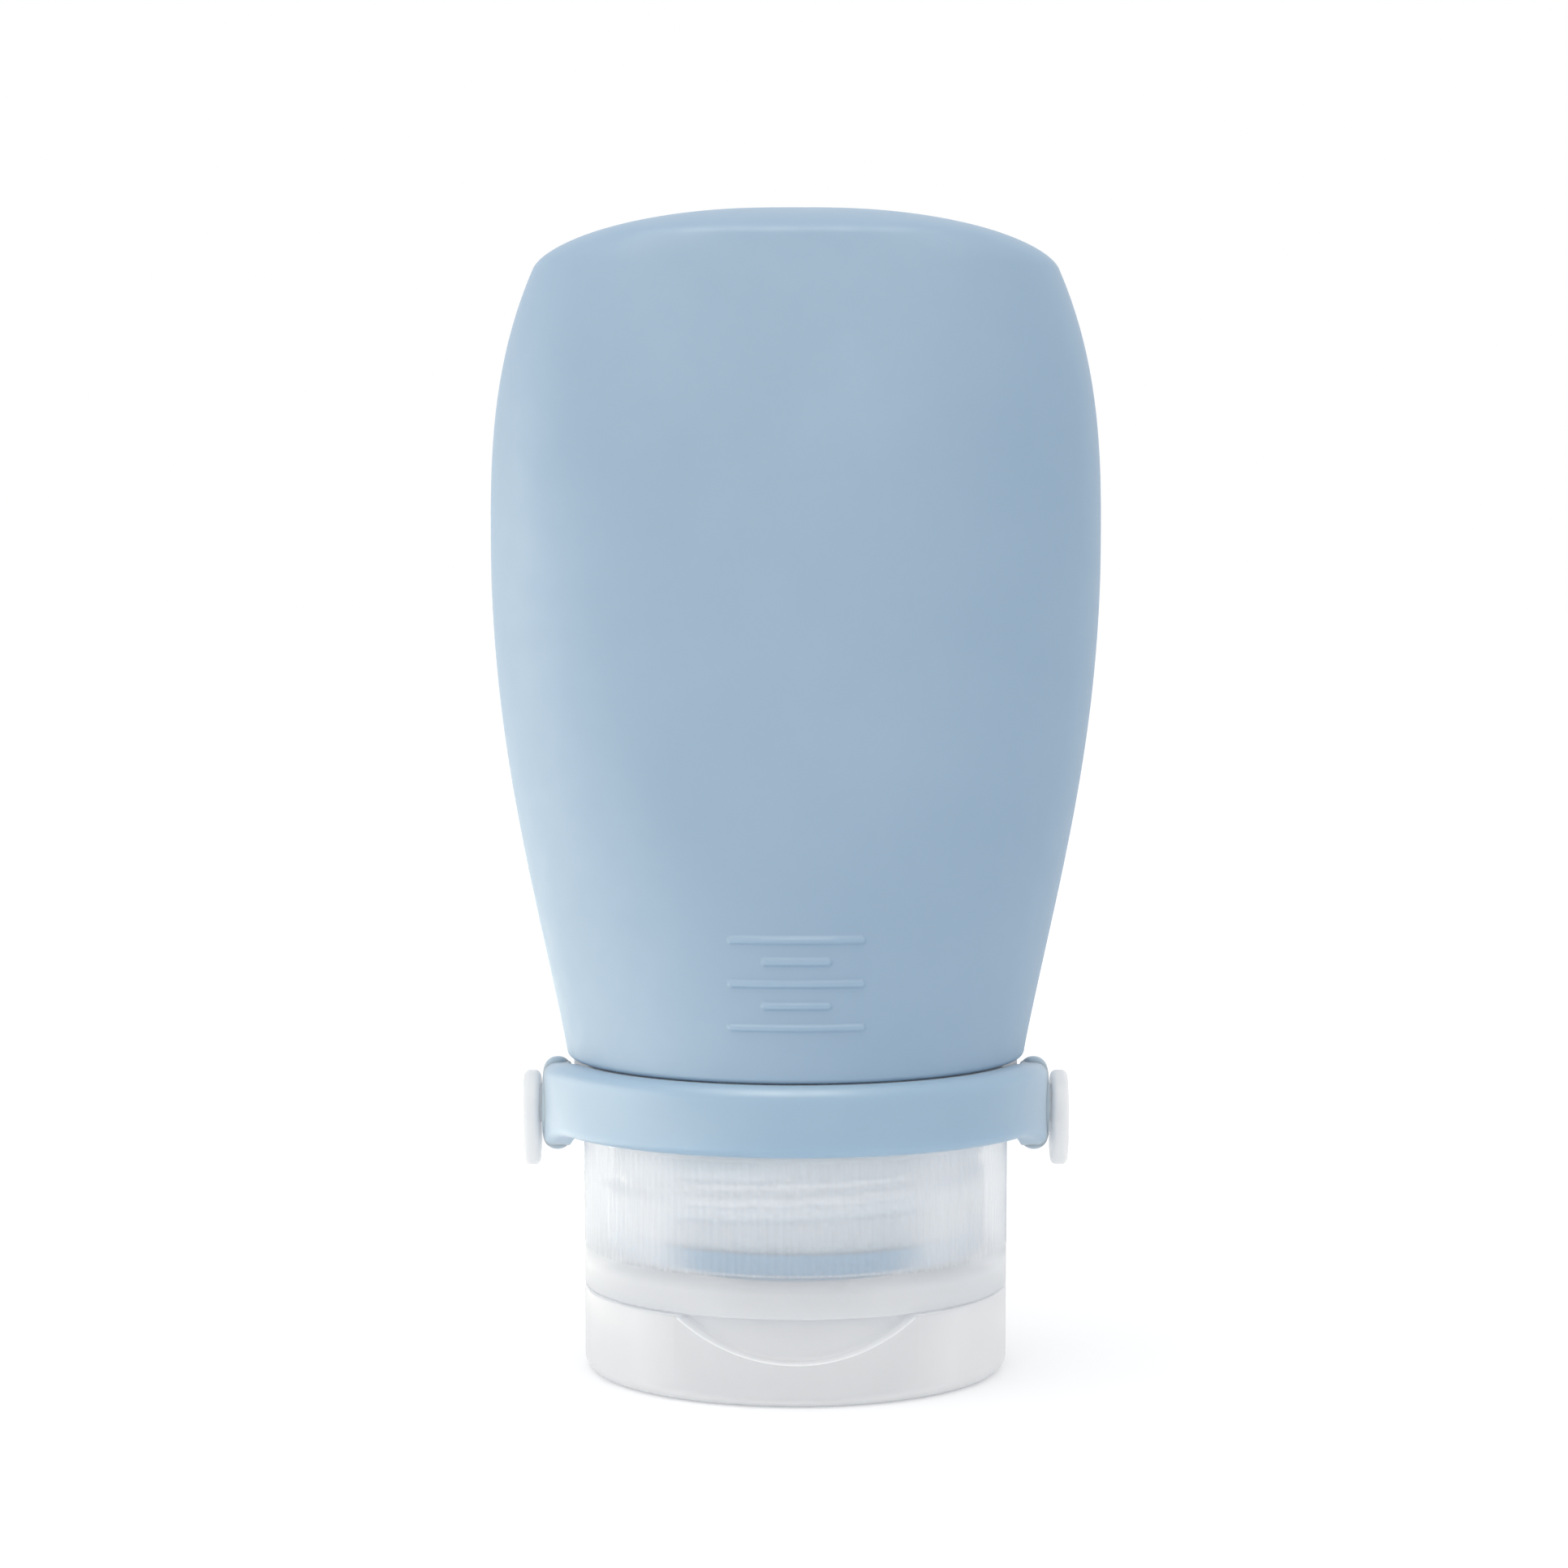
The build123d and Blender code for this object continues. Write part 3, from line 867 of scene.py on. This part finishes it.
def make_hinge():
    """The thin web at the back between lid and cap, in its resting shape; on the real bottle it bends
    as the lid opens.
    """
    columns = []
    half_angle = hinge_width / 2 / lid_radius
    for angle in evenly(-half_angle, half_angle, hinge_columns):
        column = []
        for height in evenly(seam_height - hinge_reach, seam_height + hinge_reach, hinge_rows):
            away = abs(height - seam_height)
            ends = smooth_step(0, hinge_fade, hinge_reach - away)
            thin = sqrt(max(0, hinge_groove**2 - away**2))
            share = hinge_end_share + (1 - hinge_end_share) * ends
            column.append((lid_radius + (hinge_thickness - thin) * share, height))
        inner = lid_radius + seat_gap / 2
        column += [(inner, column[-1][1]), (inner, column[0][1])]
        columns.append([(radius * sin(angle), radius * cos(angle), height)
                        for radius, height in column])
    mesh = close_ends(grid_mesh(columns, wrap_columns=False))
    hinge = make_piece("hinge_web", mesh, [lid_outside])
    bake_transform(hinge)
    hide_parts("living_hinge")


# Valve, its retainer and the gasket

def valve_zone(radius, height):
    """Which of the valve's materials a face has: 0 on the thick rim, 1 on the thin membrane."""
    return 0 if radius > valve_radius - valve_rim_width - seat_gap else 1


def cut_slot(piece, width, depth):
    """Cut an upright slot through the middle of a piece, at the height of the valve's top."""
    cutter = bpy.data.objects.new("cutter", bpy.data.meshes.new("cutter"))
    cube = bmesh.new()
    bmesh.ops.create_cube(cube, size=MM)
    bmesh.ops.scale(cube, vec=(width, depth, slit_cut_height), verts=cube.verts)
    bmesh.ops.translate(cube, vec=(0, 0, valve_top * MM), verts=cube.verts)
    cube.to_mesh(cutter.data)
    cube.free()
    bpy.context.scene.collection.objects.link(cutter)
    cut = piece.modifiers.new("slit", "BOOLEAN")
    cut.operation = "DIFFERENCE"
    cut.object = cutter
    bpy.context.view_layer.update()
    evaluated = piece.evaluated_get(bpy.context.evaluated_depsgraph_get())
    data = bpy.data.meshes.new_from_object(evaluated)
    piece.modifiers.clear()
    piece.data = data
    bpy.data.objects.remove(cutter)


def make_valve():
    """The slit valve: a thick rim round a domed membrane with crossed slits."""
    bottom = deck_top + seat_gap
    dome_bottom = valve_top - valve_membrane
    rim_inner = valve_radius - valve_rim_width
    curve_radius = (valve_dome_radius**2 + valve_dome_rise**2) / (2 * valve_dome_rise)
    reach = [valve_dome_radius * step / dome_steps for step in range(dome_steps + 1)]
    rise = [sqrt(curve_radius**2 - x * x) - curve_radius + valve_dome_rise for x in reach]
    top = [(x, valve_top - seat_gap + lift) for x, lift in zip(reach, rise)]
    under = [(x, dome_bottom + lift) for x, lift in zip(reach, rise)]
    rim = rounded([
        (valve_radius, valve_top - seat_gap, edge_round),
        (valve_radius, bottom, edge_round),
        (rim_inner, bottom, edge_round),
        (rim_inner, dome_bottom, soft_round),
    ])
    mesh = lathe_mesh(top + rim + under[::-1], ring_columns)
    valve = make_piece("slit_valve", mesh, [valve_rim, valve_skin], "cap", valve_zone)
    cut_slot(valve, slit_length, slit_width)
    cut_slot(valve, slit_width, slit_length)
    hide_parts("dispensing_valve")


def make_retainer():
    """The plastic ring that holds the valve's rim down in its socket."""
    outer = socket_radius - seat_gap
    outline = rounded([
        (retainer_bore_radius, valve_top, small_round),
        (outer, valve_top, crisp_round),
        (outer, valve_top + retainer_height, edge_round),
        (retainer_bore_radius, valve_top + retainer_height, edge_round),
    ])
    mesh = lathe_mesh(outline, ring_columns)
    ring = make_piece("retainer_ring", mesh, [ring_plastic], "cap")
    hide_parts("valve_retainer")


def make_gasket():
    """The silicone sealing ring between the seat round the deck and the neck."""
    inner = socket_radius + socket_wall + gasket_clearance
    outer = cap_inner_radius - gasket_clearance
    outline = rounded([
        (inner, gasket_bottom + seat_gap, small_round),
        (outer, gasket_bottom + seat_gap, small_round),
        (outer, gasket_top - seat_gap, small_round),
        (inner, gasket_top - seat_gap, small_round),
    ])
    mesh = lathe_mesh(outline, ring_columns)
    ring = make_piece("sealing_ring", mesh, [valve_rim], "gasket")
    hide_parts("cap_gasket")


# Neck insert and collar

def neck_shape(radius, height, angle):
    """The neck's radius with its outer thread."""
    if abs(radius - spout_radius) < TINY:
        return radius + thread_depth * thread_ridge(neck_thread_start, neck_thread_turns, angle, height)
    return radius


def make_neck():
    """The threaded spout, its flange, and the skirt that the silicone lip grips."""
    groove_bottom = flange_top + groove_height
    groove_radius = skirt_radius - groove_depth
    skirt_top = flange_top + skirt_length
    outline = rounded([
        (neck_bore_radius, gasket_top, edge_round),
        (spout_radius, gasket_top, soft_round),
        (spout_radius, flange_bottom, soft_round),
        (flange_radius, flange_bottom, small_round),
        (flange_radius, flange_top - seat_gap, crisp_round),
        (skirt_radius, flange_top - seat_gap, fine_round),
        (skirt_radius, groove_bottom, fine_round),
        (groove_radius, groove_bottom, crisp_round),
        (groove_radius, groove_bottom + groove_width, crisp_round),
        (skirt_radius, groove_bottom + groove_width, fine_round),
        (skirt_radius, skirt_top, soft_round),
        (neck_bore_radius, skirt_top, soft_round),
    ])
    outline = split_thread(outline, spout_radius, neck_thread_start, neck_thread_turns)
    mesh = lathe_mesh(outline, neck_columns, neck_shape)
    neck = make_piece("neck_spout", mesh, [neck_plastic], "bottle")
    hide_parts("neck_insert")


def stadium(angle, half_straight, radius):
    """A point on an upright slot outline, as (y, z) from its centre."""
    lift = half_straight if sin(angle) >= 0 else -half_straight
    return radius * cos(angle), lift + radius * sin(angle)


def round_stud(outline, count, side):
    """Columns of an outline of (radius, x) turned round the studs' axis, on the left or right."""
    columns = []
    for index in range(count):
        angle = 2 * pi * index / count
        columns.append([(side * x, reach * cos(angle), stud_axis_height + reach * sin(angle))
                        for reach, x in outline])
    return columns


def stud_mesh(side):
    """A stud with its oblong head, on the left (-1) or right (1)."""
    half_straight = (stud_head_length - stud_head_width) / 2
    head_radius = stud_head_width / 2
    middle = stud_axis_height - stud_head_drop
    head_outer = stud_head_x + stud_head_thickness
    edge = rounded([
        (0, stud_head_x, 0),
        (head_radius, stud_head_x, stud_head_round),
        (head_radius, head_outer, stud_head_round),
        (0, head_outer, 0),
    ])
    columns = []
    for index in range(stud_head_columns):
        angle = 2 * pi * index / stud_head_columns + pi / stud_head_columns
        column = []
        for reach, x in edge:
            straight = half_straight * min(1, reach / (head_radius - stud_head_round))
            y, z = stadium(angle, straight, reach)
            column.append((side * x, y, middle + z))
        columns.append(column)
    root = collar_radius - stud_root_depth
    tip = stud_head_x + stud_tip_depth
    stud = [(0, root), (stud_radius, root), (stud_radius, tip), (0, tip)]
    return joined([grid_mesh(columns, wrap_rows=False),
                   grid_mesh(round_stud(stud, stud_columns, side), wrap_rows=False)])


def make_collar():
    """The collar round the silicone lip, with a stud and head at each side."""
    outline = rounded([
        (collar_bore_radius, flange_bottom, small_round),
        (collar_radius, flange_bottom, soft_round),
        (collar_radius, collar_top - seat_gap, soft_round),
        (collar_bore_radius, collar_top - seat_gap, small_round),
    ])
    mesh = joined([lathe_mesh(outline, collar_columns), stud_mesh(-1), stud_mesh(1)])
    collar = make_piece("collar_ring", mesh, [collar_plastic], "bottle")
    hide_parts("stud_collar")


# Strap

def strap_profile(y):
    """Lowest and highest point of the strap's band at a depth y, with its flare to the eyelets."""
    share = smooth_step(0, 1, (y + strap_flare_length) / strap_flare_length)
    low = strap_bottom + (stud_axis_height - eyelet_radius + eyelet_inset - strap_bottom) * share
    high = strap_top + (stud_axis_height + eyelet_radius - eyelet_inset - strap_top) * share
    return low, high


def band_mesh():
    """The band round the front of the collar, thicker towards its ends."""
    outer_x = strap_inner_radius + strap_eyelet_thickness
    outer_y = strap_inner_radius + strap_front_thickness
    columns = []
    for angle in evenly(pi, 2 * pi, band_columns):
        reach = 1 / sqrt((cos(angle) / outer_x) ** 2 + (sin(angle) / outer_y) ** 2)
        low, high = strap_profile(reach * sin(angle))
        section = rounded([
            (strap_inner_radius, low, edge_round),
            (reach, low, strap_bottom_round),
            (reach, high, strap_top_round),
            (strap_inner_radius, high, soft_round),
        ], band_corner_steps)
        columns.append([(radius * cos(angle), radius * sin(angle), height)
                        for radius, height in section])
    return close_ends(grid_mesh(columns, wrap_columns=False))


def eyelet_mesh(side):
    """The round end of the strap with its hole for the stud."""
    outer_x = strap_inner_radius + strap_eyelet_thickness
    section = rounded([
        (eyelet_hole_radius, strap_inner_radius, eyelet_hole_round),
        (eyelet_radius, strap_inner_radius, eyelet_edge_round),
        (eyelet_radius, outer_x, eyelet_edge_round),
        (eyelet_hole_radius, outer_x, eyelet_hole_round),
    ], eyelet_corner_steps)
    return grid_mesh(round_stud(section, eyelet_columns, side))


def make_strap():
    """The silicone strap: a band with an eyelet at each end."""
    mesh = joined([band_mesh(), eyelet_mesh(-1), eyelet_mesh(1)])
    strap = make_piece("silicone_strap", mesh, [strap_silicone], "strap")
    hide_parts("strap")


make_body()
make_lid()
make_cap()
make_hinge()
make_valve()
make_retainer()
make_gasket()
make_neck()
make_collar()
make_strap()


# Floor, light and camera

def seen_white(tree):
    """A factor that is 1 for what the camera, a reflection or a see-through surface sees."""
    path = tree.nodes.new("ShaderNodeLightPath")
    factor = path.outputs["Is Camera Ray"]
    for ray in ("Is Glossy Ray", "Is Transmission Ray"):
        either = tree.nodes.new("ShaderNodeMath")
        either.operation = "MAXIMUM"
        tree.links.new(factor, either.inputs[0])
        tree.links.new(path.outputs[ray], either.inputs[1])
        factor = either.outputs[0]
    return factor


def make_floor():
    """A plain pale floor that looks white and keeps the object's shadow."""
    mesh = bmesh.new()
    bmesh.ops.create_circle(mesh, cap_ends=True, segments=floor_sides, radius=floor_radius)
    data = bpy.data.meshes.new("floor")
    mesh.to_mesh(data)
    mesh.free()
    floor = bpy.data.objects.new("floor", data)
    floor.location.z = -floor_drop
    bpy.context.scene.collection.objects.link(floor)
    material = bpy.data.materials.new("floor_white")
    material.use_nodes = True
    tree = material.node_tree
    tree.nodes.clear()
    diffuse = tree.nodes.new("ShaderNodeBsdfDiffuse")
    diffuse.inputs["Color"].default_value = floor_white
    glow = tree.nodes.new("ShaderNodeEmission")
    both = tree.nodes.new("ShaderNodeAddShader")
    scaled = tree.nodes.new("ShaderNodeMath")
    scaled.operation = "MULTIPLY"
    scaled.inputs[1].default_value = floor_lift
    tree.links.new(seen_white(tree), scaled.inputs[0])
    tree.links.new(scaled.outputs[0], glow.inputs["Strength"])
    tree.links.new(diffuse.outputs[0], both.inputs[0])
    tree.links.new(glow.outputs[0], both.inputs[1])
    output = tree.nodes.new("ShaderNodeOutputMaterial")
    tree.links.new(both.outputs[0], output.inputs["Surface"])
    data.materials.append(material)


def make_world():
    """A soft pale surround, a little brighter on the left, that looks white itself."""
    world = bpy.data.worlds.new("studio")
    world.use_nodes = True
    tree = world.node_tree
    background = tree.nodes["Background"]
    direction = tree.nodes.new("ShaderNodeTexCoord").outputs["Generated"]
    axes = tree.nodes.new("ShaderNodeSeparateXYZ")
    tree.links.new(direction, axes.inputs[0])
    across = map_range(tree, axes.outputs["X"], -1, 1, surround_left, surround_right)
    strength = tree.nodes.new("ShaderNodeMapRange")
    tree.links.new(seen_white(tree), strength.inputs["Value"])
    tree.links.new(across, strength.inputs["To Min"])
    strength.inputs["To Max"].default_value = 1.0
    tree.links.new(strength.outputs["Result"], background.inputs["Strength"])
    background.inputs["Color"].default_value = (*plain_white, 1)
    bpy.context.scene.world = world


def area_light(name, place, aim, size, power, gloss_only=False):
    """A soft box at a place, pointed at a point, which can show in the gloss alone."""
    lamp = bpy.data.lights.new(name, "AREA")
    lamp.shape = "RECTANGLE"
    lamp.size, lamp.size_y = size
    lamp.energy = power
    lamp.color = warm_white if gloss_only else plain_white
    light = bpy.data.objects.new(name, lamp)
    light.location = place
    direction = Vector(aim) - Vector(place)
    light.rotation_mode = "QUATERNION"
    light.rotation_quaternion = direction.to_track_quat("-Z", "Y")
    light.visible_camera = False
    light.visible_diffuse = not gloss_only
    bpy.context.scene.collection.objects.link(light)


def make_camera():
    """The photograph's view, worked out from its frame in pixels."""
    camera = bpy.data.cameras.new("camera")
    camera.sensor_width = camera_sensor_width
    camera.lens = camera_sensor_width * focal_pixels / frame_pixels
    camera.clip_start = camera_clip_start
    view = bpy.data.objects.new("camera", camera)
    view.location.x = -(axis_pixel - frame_pixels / 2) * camera_distance / focal_pixels
    view.location.y = -camera_distance * cos(camera_pitch)
    view.location.z = camera_aim_height + camera_distance * sin(camera_pitch)
    view.rotation_euler = (pi / 2 - camera_pitch, 0, 0)
    bpy.context.scene.collection.objects.link(view)
    bpy.context.scene.camera = view


make_floor()
make_world()
area_light("softbox_left", place=(-0.42, -0.10, 0.10), aim=(0, 0, 0.04), size=(0.30, 0.30),
           power=0.14)
area_light("softbox_above", place=(-0.05, -0.10, 0.60), aim=(0, 0, 0.05), size=(0.40, 0.40),
           power=0.40)
area_light("sheet_left", place=(-0.42, 0.02, 0.08), aim=(0, 0, 0.05), size=(0.50, 0.16),
           power=0.72, gloss_only=True)
area_light("sheet_floor", place=(-0.20, 0.04, 0.002), aim=(-0.20, 0.04, 1), size=(0.34, 0.34),
           power=0.85, gloss_only=True)
area_light("sheet_above", place=(-0.05, -0.32, 0.46), aim=(0, 0, 0.04), size=(0.40, 0.40),
           power=2.80, gloss_only=True)
make_camera()
bpy.context.scene.view_settings.view_transform = "Standard"
bpy.context.scene.cycles.transparent_max_bounces = see_through_layers
bpy.context.scene.cycles.max_bounces = most_turns
bpy.context.scene.cycles.diffuse_bounces = most_turns
